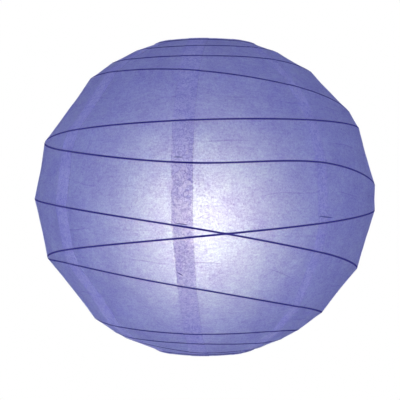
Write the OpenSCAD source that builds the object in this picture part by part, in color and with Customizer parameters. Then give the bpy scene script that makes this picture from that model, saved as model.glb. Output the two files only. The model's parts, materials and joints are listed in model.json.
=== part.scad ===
// Accordion paper lantern: a folding globe of eight tissue gores on one loose spiral of wire,
// held open by a sprung wire frame that also carries a lampholder and its bulb.
// The lantern hangs from the origin, the point where a hook bears in the frame's loop.

/* [Globe] */
// Widest diameter, over the paper
lantern_d = 305; // [250:5:410]
// Distance between the two rim rings' centres
open_h = 270; // [225:5:360]
// Diameter of the two rim rings, on the wire's centreline
rim_d = 90; // [84:1:120]

/* [Wire] */
// Diameter of the spiral rib's wire
rib_wire = 1.4; // [0.8:0.1:2]
// Diameter of the wire of the rim rings and the frame
frame_wire = 2.4; // [1.8:0.1:3]
// Inside radius of the frame's bends
frame_bend = 2; // [1.5:0.5:4]

/* [Paper] */
// Thickness of the paper with its glue
paper_t = 0.3; // [0.2:0.05:0.5]
// Width of the glued lap between two gores
seam_lap = 17; // [10:1:24]
// Azimuth of the seam where the rib starts and ends, from the front
first_seam = 173.5; // [0:0.5:359.5]

/* [Lamp] */
// Gap between the frame's crossbar and the cord grip under it
grip_drop = 17.2; // [4:0.2:40]
// Diameter of the bulb's globe
bulb_d = 60; // [45:1:70]
// Length of the bulb from the contact to the tip
bulb_l = 108; // [95:1:125]
// Diameter of the screw cap over its thread
cap_d = 26.2; // [26:0.1:26.6]
// Diameter of the lampholder's outer thread
holder_d = 38.8; // [36:0.2:42]
// Bore of the cord grip, for a lead or a rod
grip_bore = 8; // [6:0.5:10]

/* [Clearances] */
// Gap between glued or seated faces on one body
seat_gap = 0.05; // [0.02:0.01:0.1]
// Gap between the lower ring's hem and what it leaves when the lantern folds
travel_gap = 0.4; // [0.3:0.05:0.6]
// Gap between the frame's legs and the ring that slides past them
leg_clear = 1; // [0.6:0.1:2]
// Gap all round a screwed fit
thread_gap = 0.3; // [0.2:0.05:0.4]

/* [Hidden] */

$fn = 48;
paper_blue = "#7378c4";
seam_blue = "#6468b4";
wire_grey = "#8d8f94";
holder_white = "#f1efe9";
brass = "#c9a648";
nickel = "#b9bcc2";

// Globe: the rib's centreline lies on a spheroid that passes through both rim rings
half_h = open_h / 2;
rim_r = rim_d / 2;
rib_r = rib_wire / 2;
wire_r = frame_wire / 2;
gores = 8;
gore_angle = 360 / gores;
fill_columns = 4;
// The paper's flat facets clear the round ribs under them in their middles
facet_angle = (gore_angle - seam_lap / lantern_d * 360 / PI) / (fill_columns + 1);
skin_gap = seat_gap + lantern_d / 2 * (1 - cos(facet_angle / 2));
globe_r = lantern_d / 2 - rib_r - skin_gap - paper_t;
globe_b = half_h / sqrt(1 - pow(rim_r / globe_r, 2));
hem_r = wire_r + seat_gap + paper_t;

// Heights at which the rib's ends lie against the two hems
rim_slope = sin(atan2(rim_r / pow(globe_r, 2), half_h / pow(globe_b, 2)));
rib_start = 100 - 100 * rim_slope * (hem_r + rib_r + seat_gap) / half_h;
rib_end = 100 * rim_slope * (hem_r + rib_r + travel_gap) / half_h - 100;
// Height of the rib where it passes each seam, in percent of half_h. A row is one turn, from
// the first seam on: back, back left, left, front left, front, front right, right, back right.
rib_turns = [
    [rib_start, 96.5, 96, 94, 93.5, 94, 94, 90],
    [88.5, 87.5, 87.5, 86, 85.5, 85, 81, 80],
    [79.5, 78.5, 76.5, 77.5, 75.5, 67, 54.5, 49],
    [43, 37.5, 34, 40.5, 44.5, 46, 44.5, 42],
    [39, 35.5, 37.5, 28.5, 20.5, 21, 7, 1.5],
    [0.5, 0.5, 0, -4.5, -15, -31, -47, -49],
    [-47.5, -43.5, -43, -31, -21.5, -14, -8.5, -10.5],
    [-16.5, -28, -39.5, -39.5, -50, -64.5, -76, -76],
    [-77, -77.5, -78.5, -79.5, -81, -81.5, -87, -84.5],
    [-85.5, -86, -87, -88, -88.5, -90.5, -92.5, -91.5],
    [-92, -92.5, -91.5, -91.5, -97, -97, -98, -98]
];
// Where the rib crosses its own previous turn, in seams from its start: it tucks inside there
crossings = [33.3, 34.3, 52.3, 58.3];
tuck_reach = 0.4;
rib_keys = [for (turn = rib_turns) each turn, rib_end];
rib_seams = len(rib_keys) - 1;
rib_steps = 6;
rib_sides = 6;
row_gap = 0.5;

// Frame
leg_x = rim_r - hem_r - leg_clear - wire_r;
foot_x = rim_r + wire_r + 1;
foot_top_z = half_h - hem_r - seat_gap - wire_r;
foot_low_z = -half_h + hem_r + travel_gap + wire_r;
loop_half_w = 6;
loop_top_z = half_h + 4.5;
loop_bar_z = half_h - 17;
hang_z = loop_top_z - wire_r;

// Lamp, from the cord grip down to the tip of the bulb
grip_r = 6;
grip_head_h = 2;
neck_r = 8.6;
neck_h = 8;
dome_h = 32;
cap_wall = 2;
flange_t = 3;
block_h = 7;
grip_top_z = loop_bar_z - wire_r - grip_drop;
neck_top_z = grip_top_z - grip_head_h - seat_gap;
cap_z = neck_top_z - neck_h - dome_h;
flange_z = cap_z - seat_gap - flange_t;
carrier_z = flange_z - seat_gap - wire_r;
body_top_z = flange_z + flange_t + 7.5;
contact_z = body_top_z - 4;
tip_z = contact_z - bulb_l;
bulb_r = bulb_d / 2;
bulb_z = tip_z + bulb_r;
cap_r = cap_d / 2;
cap_h = 21.5;
cap_thread = 0.9;
cap_pitch = 3.6;
insulator_r = 11;
cap_low_z = contact_z - 3 - cap_h;
globe_top_z = bulb_z + bulb_r * 0.63;
collar_h = cap_low_z - seat_gap - globe_top_z;
board_t = 1.6;
globe_wall = 1.2;
collar_wall = 2;
collar_r = sqrt(pow(bulb_r, 2) - pow(globe_top_z - bulb_z, 2)) + 0.8;
shell_wall = 0.5;
shell_r = cap_r + thread_gap + shell_wall;
holder_r = holder_d / 2;
thread_pitch = 2.5;
thread_depth = 0.8;
body_low_z = cap_low_z - 4.5;
flange_r = holder_r + 5.6;
shade_ring_h = 9;
carrier_r = holder_r + wire_r + 1.8;
shade_ring_z = carrier_z - wire_r - seat_gap - shade_ring_h;

// ---- shared shapes ----

// Everything is drawn about the globe's middle and hung below the origin here
module hung() {
    translate([0, 0, -hang_z]) children();
}

// A round wire bent in the X-Z plane: straight lengths with a true arc at each corner
function turn_at(p, i) =
    let (a = p[i] - p[i - 1], b = p[i + 1] - p[i])
    atan2(a[0] * b[1] - a[1] * b[0], a * b);
function setback(p, i, bend) =
    i == 0 || i == len(p) - 1 ? 0 : bend * tan(abs(turn_at(p, i)) / 2);

module bent_wire(p, r, bends) {
    rotate([90, 0, 0]) {
        for (i = [0 : len(p) - 2]) {
            d = p[i + 1] - p[i];
            from = setback(p, i, bends[i]);
            to = norm(d) - setback(p, i + 1, bends[i + 1]);
            translate([p[i][0], p[i][1], 0])
                rotate([0, 0, atan2(d[1], d[0])])
                    translate([from, 0, 0])
                        rotate([0, 90, 0])
                            cylinder(h = to - from, r = r);
        }
        for (i = [1 : len(p) - 2]) {
            d = p[i] - p[i - 1];
            turn = turn_at(p, i);
            side = sign(turn);
            along = atan2(d[1], d[0]);
            back = setback(p, i, bends[i]);
            start = p[i] - back * d / norm(d);
            centre = start + side * bends[i] * [-sin(along), cos(along)];
            translate([centre[0], centre[1], 0])
                rotate([0, 0, along - side * 90 + min(turn, 0)])
                    rotate_extrude(angle = abs(turn))
                        translate([bends[i], 0])
                            circle(r = r);
        }
    }
}

module round_end(x, z, r) {
    translate([x, 0, z]) sphere(r = r);
}

module wire_hoop(hoop_r, r) {
    rotate_extrude() translate([hoop_r, 0]) circle(r = r);
}

module tube(r_out, r_in, z0, z1) {
    translate([0, 0, z0])
        difference() {
            cylinder(h = z1 - z0, r = r_out);
            translate([0, 0, -1]) cylinder(h = z1 - z0 + 2, r = r_in);
        }
}

// Saw-tooth side of a coarse thread, as points up from z0 to z1
function thread_side(r, depth, z0, z1, pitch) =
    let (n = floor((z1 - z0) / pitch), p = (z1 - z0) / n)
    [for (i = [0 : n - 1]) each [[r - depth, z0 + i * p], [r, z0 + (i + 0.5) * p]],
     [r - depth, z1]];

// ---- the rib's course ----

function key(i) = rib_keys[max(0, min(rib_seams, i))];
function eased(a, b, c, d, t) =
    b + t / 2 * (c - a + t * (2 * a - 5 * b + 4 * c - d + t * (3 * (b - c) + d - a)));
// Height of the rib s seams along from its start
function rib_z(s) =
    let (on = max(0, min(rib_seams, s)), i = floor(on))
    half_h / 100 * eased(key(i - 1), key(i), key(i + 1), key(i + 2), on - i);
function globe_at(z) = globe_r * sqrt(1 - pow(z / globe_b, 2));
// Outward direction of the globe's surface, as [across, up]
function outward(r, z) =
    let (n = [r / pow(globe_r, 2), z / pow(globe_b, 2)]) n / norm(n);
function azimuth(s) = first_seam + gore_angle * s;
// Azimuth 0 is the front, -Y, and grows towards +X
function at(az, r, z) = [r * sin(az), -r * cos(az), z];
function swell(x) = let (t = max(0, min(1, 2 * (1 - abs(x))))) t * t * (3 - 2 * t);
function tuck(s) =
    (rib_wire + seat_gap) * max([for (c = crossings) swell((s - c) / tuck_reach)]);
function rib_centre(s) =
    let (z = rib_z(s), r = globe_at(z)) [r, z] - tuck(s) * outward(r, z);
function rib_section(s) =
    let (c = rib_centre(s))
    [for (k = [0 : rib_sides - 1])
        let (a = 360 * k / rib_sides)
        at(azimuth(s), c[0] + rib_r * cos(a), c[1] + rib_r * sin(a))];

// Solid through a row of sections with the same number of points
module swept(sections) {
    n = len(sections[0]);
    last = len(sections) - 1;
    polyhedron(
        points = [for (section = sections) each section],
        faces = [
            [for (k = [n - 1 : -1 : 0]) k],
            [for (k = [0 : n - 1]) last * n + k],
            for (i = [0 : last - 1])
                for (k = [0 : n - 1])
                    let (a = i * n + k, b = i * n + (k + 1) % n)
                    each [[a, b, b + n], [a, b + n, a + n]]
        ],
        convexity = 10);
}

// ---- paper ----

// The heights in z, from the top down
function sorted_down(z) =
    len(z) <= 1 ? z
    : let (m = max(z), rest = [for (v = z) if (v < m) v])
      concat([for (k = [1 : len(z) - len(rest)]) m], sorted_down(rest));
// The same with no two closer than row_gap, so that no facet folds flat at a crossing
function spread(z, i = 1) =
    i >= len(z) ? z
    : spread([for (k = [0 : len(z) - 1])
        k == i ? min(z[k], z[k - 1] - row_gap) : z[k]], i + 1);
// Heights where the paper passes over the rib at s. Both the rib's ends count as one turn
// more, so that the first gore and the last one meet alike under the rims
function wires_at(s) =
    let (z = sorted_down([for (turn = [-1 : len(rib_turns)]) rib_z(s + gores * turn)]),
         last = len(z) - 1,
         apart = spread(z))
    [for (k = [0 : last]) max(apart[k], z[last] + row_gap * (last - k))];
// Angle of the given number of half laps at radius r, in seams
function lap_seams(half_laps, r) = half_laps * seam_lap / 2 / r * 180 / PI / gore_angle;
// A point of the paper, lifted off the wire's centre
function paper_point(s, r, z, lift) =
    let (p = [r, z] + lift * outward(r, z)) at(azimuth(s), p[0], p[1]);
// One column of paper from the top hem to the bottom one, the given half laps past s
function paper_column(s, half_laps, lift) =
    let (rim_s = s + lap_seams(half_laps, rim_r), there = wires_at(s))
    [
        paper_point(rim_s, rim_r, half_h, lift + hem_r + skin_gap),
        for (i = [0 : len(there) - 1])
            let (row_s = s + lap_seams(half_laps, globe_at(there[i])),
                 z = wires_at(row_s)[i])
            paper_point(row_s, globe_at(z), z, lift + rib_r + skin_gap),
        paper_point(rim_s, rim_r, -half_h, lift + hem_r + travel_gap)
    ];

// A gore runs half a lap past both its seams. Its right edge steps up over the next gore
module paper_gore(g) {
    lap_lift = paper_t + (g == gores - 1 ? skin_gap : seat_gap);
    places = [
        [0, -1, 0], [0, 0, 0], [0, 1, 0],
        for (i = [1 : fill_columns]) let (t = i / (fill_columns + 1)) [t, 1 - 2 * t, 0],
        [1, -1.15, 0], [1, -1, lap_lift], [1, 0, lap_lift], [1, 1, lap_lift]
    ];
    inner = [for (p = places) paper_column(g + p[0], p[1], p[2])];
    outer = [for (p = places) paper_column(g + p[0], p[1], p[2] + paper_t)];
    rows = len(inner[0]);
    cols = len(places);
    skin = rows * cols;
    last = cols - 1;
    low = rows - 1;
    polyhedron(
        points = concat([for (c = inner) each c], [for (c = outer) each c]),
        faces = [
            for (c = [0 : last - 1])
                for (i = [0 : low - 1])
                    let (a = c * rows + i, b = a + rows)
                    each [[a, b + 1, b], [a, a + 1, b + 1],
                          [skin + a, skin + b, skin + b + 1],
                          [skin + a, skin + b + 1, skin + a + 1]],
            for (c = [0 : last - 1])
                let (a = c * rows, b = a + rows, d = a + low, e = b + low)
                each [[a, b, skin + b], [a, skin + b, skin + a],
                      [d, skin + e, e], [d, skin + d, skin + e]],
            for (i = [0 : low - 1])
                let (a = i, b = last * rows + i)
                each [[a, skin + a, skin + a + 1], [a, skin + a + 1, a + 1],
                      [b, skin + b + 1, skin + b], [b, b + 1, skin + b + 1]]
        ],
        convexity = 10);
}

// ---- sub-parts: globe ----

module top_ring() {
    color(wire_grey) hung() translate([0, 0, half_h]) wire_hoop(rim_r, wire_r);
}

module bottom_ring() {
    color(wire_grey) hung() translate([0, 0, -half_h]) wire_hoop(rim_r, wire_r);
}

// Strip of paper folded round a rim ring, which the gores' ends are glued to
module hem(z) {
    color(seam_blue) hung() translate([0, 0, z])
        rotate_extrude() translate([rim_r, 0])
            difference() {
                circle(r = hem_r);
                circle(r = wire_r + seat_gap);
            }
}

module top_hem() {
    hem(half_h);
}

module bottom_hem() {
    hem(-half_h);
}

module rib_wire() {
    color(wire_grey) hung()
        swept([for (i = [0 : rib_seams * rib_steps]) rib_section(i / rib_steps)]);
}

module gore(g) {
    color(paper_blue) hung() paper_gore(g);
}

// ---- sub-parts: wire frame ----

// Sprung leg: its top foot carries the top ring and its low foot bears down on the bottom ring
module leg(side) {
    color(wire_grey) hung() {
        bent_wire(
            [[side * foot_x, foot_top_z], [side * leg_x, foot_top_z],
             [side * leg_x, foot_low_z], [side * foot_x, foot_low_z]],
            wire_r, [0, frame_bend + wire_r, frame_bend + wire_r, 0]);
        for (z = [foot_top_z, foot_low_z])
            round_end(side * foot_x, z, wire_r);
    }
}

module leg_left() {
    leg(-1);
}

module leg_right() {
    leg(1);
}

// Space that a leg takes, where another wire is butted and welded to it
module leg_space() {
    for (side = [-1, 1])
        translate([side * leg_x, 0, -half_h])
            cylinder(h = open_h, r = wire_r + seat_gap);
}

module hanging_loop() {
    bend = frame_bend + wire_r;
    color(wire_grey) hung()
        difference() {
            bent_wire(
                [[-leg_x, loop_bar_z], [-loop_half_w, loop_bar_z], [-loop_half_w, loop_top_z],
                 [loop_half_w, loop_top_z], [loop_half_w, loop_bar_z], [leg_x, loop_bar_z]],
                wire_r, [0, bend, loop_half_w - 0.1, loop_half_w - 0.1, bend, 0]);
            leg_space();
        }
}

// Hoop that the shade ring clamps, on two arms to the legs
module lamp_carrier() {
    color(wire_grey) hung() {
        translate([0, 0, carrier_z]) wire_hoop(carrier_r, wire_r);
        difference() {
            for (side = [0, 180])
                rotate([0, 0, side])
                    translate([carrier_r, 0, carrier_z])
                        rotate([0, 90, 0])
                            cylinder(h = leg_x - carrier_r, r = wire_r);
            leg_space();
        }
    }
}

// ---- sub-parts: lampholder ----

module cord_grip() {
    color(holder_white) hung()
        difference() {
            union() {
                translate([0, 0, grip_top_z - grip_head_h]) cylinder(h = grip_head_h, r = neck_r);
                translate([0, 0, neck_top_z - neck_h]) cylinder(h = neck_h + 1, r = grip_r);
            }
            translate([0, 0, neck_top_z - neck_h - 1])
                cylinder(h = neck_h + grip_head_h + 3, r = grip_bore / 2);
        }
}

// Domed cap over the terminals, with a straight skirt and a neck for the cord grip
module holder_cap() {
    skirt = 12;
    crown = dome_h - skirt;
    outer = flange_r - 1;
    inner = outer - cap_wall;
    arc = [for (a = [0 : 15 : 75]) a];
    color(holder_white) hung()
        translate([0, 0, cap_z])
            rotate_extrude()
                polygon(concat(
                    [[inner, 0], [outer, 0]],
                    [for (a = arc) [neck_r + (outer - neck_r) * cos(a), skirt + crown * sin(a)]],
                    [[neck_r, dome_h], [neck_r, dome_h + neck_h],
                     [grip_r + seat_gap, dome_h + neck_h], [grip_r + seat_gap, dome_h - cap_wall]],
                    [for (i = [len(arc) - 1 : -1 : 0])
                        [grip_r + seat_gap + (inner - grip_r - seat_gap) * cos(arc[i]),
                         skirt + (crown - cap_wall) * sin(arc[i])]]));
}

module contact_block() {
    color(holder_white) hung()
        translate([0, 0, body_top_z + seat_gap])
            difference() {
                cylinder(h = block_h, r = holder_r - 2.4);
                for (side = [-1, 1])
                    translate([side * 9, 0, block_h - 4]) cylinder(h = 5, r = 2.2);
            }
}

// Brass tongue that springs down from the block onto the bulb's contact
module holder_contact() {
    strip_w = 5;
    strip_t = 0.6;
    reach = 7;
    drop = body_top_z - contact_z - strip_t - seat_gap;
    color(brass) hung()
        translate([0, 0, contact_z + seat_gap])
            rotate([90, 0, 0])
                linear_extrude(height = strip_w, center = true)
                    polygon([
                        [-2.5, 0], [2.5, 0], [reach, drop], [reach + 2, drop],
                        [reach + 2, drop + strip_t], [reach - 0.3, drop + strip_t],
                        [2.2, strip_t], [-2.5, strip_t]]);
}

module screw_shell() {
    low = cap_low_z + 1;
    plate_t = 0.8;
    color(brass) hung() {
        tube(shell_r, shell_r - shell_wall, low, body_top_z - seat_gap - plate_t);
        difference() {
            tube(shell_r, 4, body_top_z - seat_gap - plate_t, body_top_z - seat_gap);
            translate([0, -3, body_top_z - 2]) cube([shell_r - 2, 6, 4]);
        }
    }
}

module holder_body() {
    inner = shell_r + thread_gap;
    color(holder_white) hung()
        rotate_extrude()
            polygon(concat(
                [[inner, body_low_z], [holder_r - thread_depth, body_low_z]],
                thread_side(holder_r, thread_depth, body_low_z + 1, flange_z - 1, thread_pitch),
                [[holder_r - thread_depth, flange_z],
                 [flange_r, flange_z], [flange_r, flange_z + flange_t],
                 [holder_r, flange_z + flange_t], [holder_r, body_top_z],
                 [inner, body_top_z]]));
}

// Ring nut that clamps the frame's hoop against the holder's flange
module shade_ring() {
    outer = flange_r + 1;
    flutes = 20;
    color(holder_white) hung()
        translate([0, 0, shade_ring_z])
            difference() {
                cylinder(h = shade_ring_h, r = outer);
                translate([0, 0, -1])
                    cylinder(h = shade_ring_h + 2, r = holder_r + thread_gap);
                for (i = [0 : flutes - 1])
                    rotate([0, 0, i * 360 / flutes])
                        translate([outer + 1.2, 0, -1])
                            cylinder(h = shade_ring_h - 1, r = 2);
            }
}

// ---- sub-parts: bulb ----

module bulb_contact() {
    color(nickel) hung()
        translate([0, 0, contact_z - 1.2]) cylinder(h = 1.2, r = 4.5);
}

module bulb_insulator() {
    color("#1d1d20") hung()
        translate([0, 0, contact_z - 3 + seat_gap])
            cylinder(h = 1.8 - 2 * seat_gap, r1 = insulator_r, r2 = 5);
}

module bulb_cap() {
    inner = cap_r - cap_thread - shell_wall;
    color(nickel) hung()
        rotate_extrude()
            polygon(concat(
                [[inner, cap_low_z]],
                thread_side(cap_r, cap_thread, cap_low_z, contact_z - 5, cap_pitch),
                [[insulator_r, contact_z - 3], [insulator_r / 2, contact_z - 3],
                 [insulator_r / 2, contact_z - 3 - shell_wall],
                 [insulator_r - shell_wall, contact_z - 3 - shell_wall],
                 [inner, contact_z - 5 - shell_wall]]));
}

// Outer radius of the collar, from its neck at t = 0 to the globe at t = 1
function collar_at(t) =
    cap_r + 0.3 + (collar_r - cap_r - 0.3) * (1 - cos(180 * t)) / 2;

// Neck of the bulb: a plastic cup that flares from the cap to the globe
module bulb_collar() {
    flare = [for (t = [0 : 0.1 : 1])
        [collar_at(t), cap_low_z - seat_gap - collar_h * t]];
    color(holder_white) hung()
        rotate_extrude()
            polygon(concat(
                [[0, cap_low_z - seat_gap]], flare,
                [for (i = [len(flare) - 1 : -1 : 1])
                    [flare[i][0] - collar_wall, min(flare[i][1], cap_low_z - 3)]],
                [[0, cap_low_z - 3]]));
}

module led_board() {
    up = 0.1;
    color(nickel) hung()
        translate([0, 0, globe_top_z + collar_h * up - board_t])
            cylinder(h = board_t, r = collar_at(1 - up) - collar_wall - seat_gap);
}

module bulb_globe() {
    color("white") hung()
        difference() {
            translate([0, 0, bulb_z]) sphere(r = bulb_r);
            translate([0, 0, bulb_z]) sphere(r = bulb_r - globe_wall);
            translate([0, 0, globe_top_z - seat_gap]) cylinder(h = bulb_r, r = bulb_r);
        }
}

top_ring();
bottom_ring();
top_hem();
bottom_hem();
rib_wire();
gore(0);  // paper_gore_1
gore(1);  // paper_gore_2
gore(2);  // paper_gore_3
gore(3);  // paper_gore_4
gore(4);  // paper_gore_5
gore(5);  // paper_gore_6
gore(6);  // paper_gore_7
gore(7);  // paper_gore_8
leg_left();
leg_right();
hanging_loop();
lamp_carrier();
cord_grip();
holder_cap();
contact_block();
holder_contact();
screw_shell();
holder_body();
shade_ring();
bulb_contact();
bulb_insulator();
bulb_cap();
bulb_collar();
led_board();
bulb_globe();
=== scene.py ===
# %% [markdown]
# # A folding paper lantern, dressed in Blender
# The lantern in the photograph is a globe of blue tissue paper on one loose spiral of thin wire.
# A bulb inside lights it. The construction is already there, packed from the CAD model: rings,
# wire frame, lampholder and bulb at their real sizes. This script keeps all of that and adds
# what the eye meets: thin paper that light passes through, wire, moulded plastic and metal.
#
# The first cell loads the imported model. Everything else is placed from it, in metres.

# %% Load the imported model
import json
import math

import bpy
import numpy as np
from mathutils import Matrix, Vector, noise
from mathutils.bvhtree import BVHTree


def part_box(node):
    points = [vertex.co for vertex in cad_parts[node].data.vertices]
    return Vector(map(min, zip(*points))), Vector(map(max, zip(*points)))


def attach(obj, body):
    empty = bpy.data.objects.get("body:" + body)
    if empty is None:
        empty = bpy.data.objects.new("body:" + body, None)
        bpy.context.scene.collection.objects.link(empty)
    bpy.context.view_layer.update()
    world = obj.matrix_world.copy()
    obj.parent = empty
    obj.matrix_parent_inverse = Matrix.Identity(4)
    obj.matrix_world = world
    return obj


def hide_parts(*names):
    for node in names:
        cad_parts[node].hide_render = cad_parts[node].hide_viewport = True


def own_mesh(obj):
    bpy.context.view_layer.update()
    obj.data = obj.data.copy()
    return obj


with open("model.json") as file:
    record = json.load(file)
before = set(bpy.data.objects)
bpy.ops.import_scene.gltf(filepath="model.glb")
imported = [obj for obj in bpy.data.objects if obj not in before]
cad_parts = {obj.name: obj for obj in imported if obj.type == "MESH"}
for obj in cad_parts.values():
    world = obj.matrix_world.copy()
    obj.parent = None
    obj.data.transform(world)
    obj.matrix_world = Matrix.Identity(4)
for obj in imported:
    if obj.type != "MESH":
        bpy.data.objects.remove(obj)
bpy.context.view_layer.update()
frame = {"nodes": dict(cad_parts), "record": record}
MM = 0.001

# %% [markdown]
# ## What the photograph fixes
# A few points are read off the photograph: the edges of the globe, and features that are easy to
# find again. They are the only pixel coordinates in this script. The globe's edges aim the camera,
# and the points on the laps and tucks place those.

# %% Image points
W = H = 400
image_points = {
    "globe_left": (34.5, None),
    "globe_right": (375.0, None),
    "globe_top": (None, 37.4),
    "globe_bottom": (None, 356.0),
    "rib_crossing": (227.5, 234.5),
    "upper_left_corner": (44.5, 143.0),
    "middle_left_corner": (35.6, 199.0),
    "lower_left_corner": (48.0, 258.0),
    "upper_right_corner": (360.3, 128.1),
    "lower_right_corner": (357.0, 267.3),
    "left_lap": (60.5, 200.0),
    "front_lap": (181.3, 190.0),
    "right_lap": (323.5, 190.0),
    "upper_tuck": (178.0, 157.0),
    "middle_tuck": (181.5, 224.0),
    "lower_tuck": (180.0, 274.0),
    "right_tuck": (326.0, 217.0),
}
print(len(image_points), "image points")

# %% [markdown]
# ## The camera
# The rims are seen almost edge on, so the camera stood just above the level of the globe's middle.
# How strongly the near wires bow against the far rims gives its distance, and the globe's width
# in the picture then gives the lens. It could be turned by hand until the picture fits. Here it
# is aimed by a formula, with no shift, so that the globe's middle falls on the middle of the
# edges above.

# %% How a level camera is aimed
SENSOR = 36.0
LENS = 88.1
CAMERA_PLACE = Vector((0.0, -0.887, -0.126))

top_ring_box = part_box("top_ring")
bottom_ring_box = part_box("bottom_ring")
TOP_RING_Z = (top_ring_box[0][2] + top_ring_box[1][2]) / 2
BOTTOM_RING_Z = (bottom_ring_box[0][2] + bottom_ring_box[1][2]) / 2
GLOBE_MIDDLE = Vector((0.0, 0.0, (TOP_RING_Z + BOTTOM_RING_Z) / 2))


def towards_pixel(x, y, shift_x=0.0, shift_y=0.0):
    """The direction of an image point, in the camera's own axes."""
    side = max(W, H)
    across = x - W / 2 + shift_x * side
    up = H / 2 - y + shift_y * side
    return Vector((across, up, -side * LENS / SENSOR)).normalized()


def aimed(place, target, pixel):
    """A level camera's matrix that shows target at pixel."""
    seen = towards_pixel(*pixel)
    wanted = (target - place).normalized()
    reach = math.hypot(seen.y, seen.z)
    tilt = math.asin(wanted.z / reach) - math.atan2(seen.z, seen.y)
    tilted = Matrix.Rotation(tilt, 3, "X") @ seen
    turn = math.atan2(wanted.y, wanted.x) - math.atan2(tilted.y, tilted.x)
    rotation = Matrix.Rotation(turn, 4, "Z") @ Matrix.Rotation(tilt, 4, "X")
    return Matrix.Translation(place) @ rotation


print("globe's middle", [round(v, 4) for v in GLOBE_MIDDLE])

# %% [markdown]
# The camera itself. Depth of field and shift stay off, so that other views can take it over.

# %% Place the camera
middle_pixel = (
    (image_points["globe_left"][0] + image_points["globe_right"][0]) / 2,
    (image_points["globe_top"][1] + image_points["globe_bottom"][1]) / 2,
)
camera_data = bpy.data.cameras.new("camera")
camera_data.sensor_width = SENSOR
camera_data.sensor_fit = "AUTO"
camera_data.lens = LENS
camera = bpy.data.objects.new("camera", camera_data)
camera.matrix_world = aimed(CAMERA_PLACE, GLOBE_MIDDLE, middle_pixel)
bpy.context.scene.collection.objects.link(camera)
bpy.context.scene.camera = camera
print("camera at", list(CAMERA_PLACE), "with a lens of", LENS, "mm")

# %% [markdown]
# Two helpers go between space and picture. One says where points show. The other follows a ray
# from an image point to a surface, and every small thing in view finds its place by it.

# %% Between space and picture
def pixels_of(points):
    """Where points in space show in the picture."""
    local = np.array(camera.matrix_world.inverted())
    own = np.array(points) @ local[:3, :3].T + local[:3, 3]
    scale = max(W, H) * LENS / SENSOR / -own[:, 2:]
    return own[:, :2] * scale * (1, -1) + (W / 2, H / 2)


def place_on(tree, pixel):
    """The nearest place on a surface that an image point looks at: the hit, or the miss's edge."""
    way = (camera.matrix_world.to_3x3() @ towards_pixel(*pixel)).normalized()
    start = camera.matrix_world.translation
    hit = tree.ray_cast(start, way)[0]
    if hit is None:
        hit = tree.find_nearest(start + way * (GLOBE_MIDDLE - start).length)[0]
    return hit


print("camera looks at", pixels_of([GLOBE_MIDDLE])[0].round(1))

# %% [markdown]
# ## Finishes and node trees
# Every finish here is a small node tree: something varies over the surface, and the shader reads
# it. Node trees are mostly drawn by hand, in the shader editor. In code, one helper adds a node,
# sets what is constant on the node's own sockets, and links the rest. Two more make the nodes
# that are needed most: a ramp between colours, and a value spread over another range.

# %% Helpers for node trees
def add(tree, kind, sockets=None, **settings):
    """Adds a shader node. A socket's value is either set, or linked when it is an output."""
    made = tree.nodes.new("ShaderNode" + kind)
    for name, value in settings.items():
        setattr(made, name, value)
    for name, value in (sockets or {}).items():
        if isinstance(value, bpy.types.NodeSocket):
            tree.links.new(value, made.inputs[name])
        else:
            made.inputs[name].default_value = value
    return made


def new_finish(name):
    """An empty material: its node tree and its output node."""
    finish = bpy.data.materials.new(name)
    finish.use_nodes = True
    tree = finish.node_tree
    tree.nodes.clear()
    return finish, tree, tree.nodes.new("ShaderNodeOutputMaterial")


def ramp(tree, factor, low, high, **settings):
    """A colour that goes from low to high with factor. Each is a colour or a socket."""
    low, high = (end if isinstance(end, bpy.types.NodeSocket) else (*end, 1)
                 for end in (low, high))
    return add(tree, "Mix", {"Factor": factor, "A": low, "B": high}, data_type="RGBA",
               **settings).outputs["Result"]


def spread(tree, value, source=(0.0, 1.0), target=(0.0, 1.0), **settings):
    """A value carried over from one range to another, and held at that one's ends."""
    sockets = {"Value": value, "From Min": source[0], "From Max": source[1],
               "To Min": target[0], "To Max": target[1]}
    return add(tree, "MapRange", sockets, **settings).outputs["Result"]


print("helpers ready: add, new_finish, ramp, spread")

# %% [markdown]
# ## The room
# The photograph has a plain white ground and no shadow in view. So the world is white to the
# camera, and to what mirrors or bends its rays, while it lights the lantern only at a plain
# level.

# %% World
PLAIN_LEVEL = 0.73
WHITE = (1, 1, 1, 1)


def seen_directly(tree):
    """A 0 or 1 socket: is this ray from the camera, or mirrored or bent on its way from it?"""
    path = add(tree, "LightPath").outputs
    first = add(tree, "Math", {0: path["Is Camera Ray"], 1: path["Is Glossy Ray"]},
                operation="MAXIMUM")
    either = add(tree, "Math", {0: first.outputs[0], 1: path["Is Transmission Ray"]},
                 operation="MAXIMUM")
    return either.outputs[0]


world = bpy.data.worlds.new("plain_studio")
bpy.context.scene.world = world
world.use_nodes = True
sky = world.node_tree
sky.nodes.clear()
plain = add(sky, "Background", {"Color": WHITE, "Strength": PLAIN_LEVEL})
white = add(sky, "Background", {"Color": WHITE, "Strength": 1.0})
chosen = add(sky, "MixShader", {0: seen_directly(sky), 1: plain.outputs[0], 2: white.outputs[0]})
add(sky, "OutputWorld", {"Surface": chosen.outputs[0]})
print("world:", len(sky.nodes), "nodes")

# %% [markdown]
# Two large soft lamps model the outside of the paper: one low on the left, and a wider, weaker
# one on the right. Smaller lamps would bring out every pucker too hard.

# %% Lamps
def lamp(name, place, size, power):
    """A square soft lamp that looks at the globe."""
    data = bpy.data.lights.new(name, "AREA")
    data.shape = "SQUARE"
    data.size = size
    data.energy = power
    light = bpy.data.objects.new(name, data)
    light.location = place
    aim = GLOBE_MIDDLE - Vector(place)
    light.rotation_euler = aim.to_track_quat("-Z", "Y").to_euler()
    bpy.context.scene.collection.objects.link(light)
    return light


lamps = [lamp("key_lamp", (-1.4, -2.0, -0.8), 1.6, 16.0),
         lamp("fill_lamp", (2.0, -1.5, 0.1), 2.0, 9.0)]
print("lamps:", [light.name for light in lamps])

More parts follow.
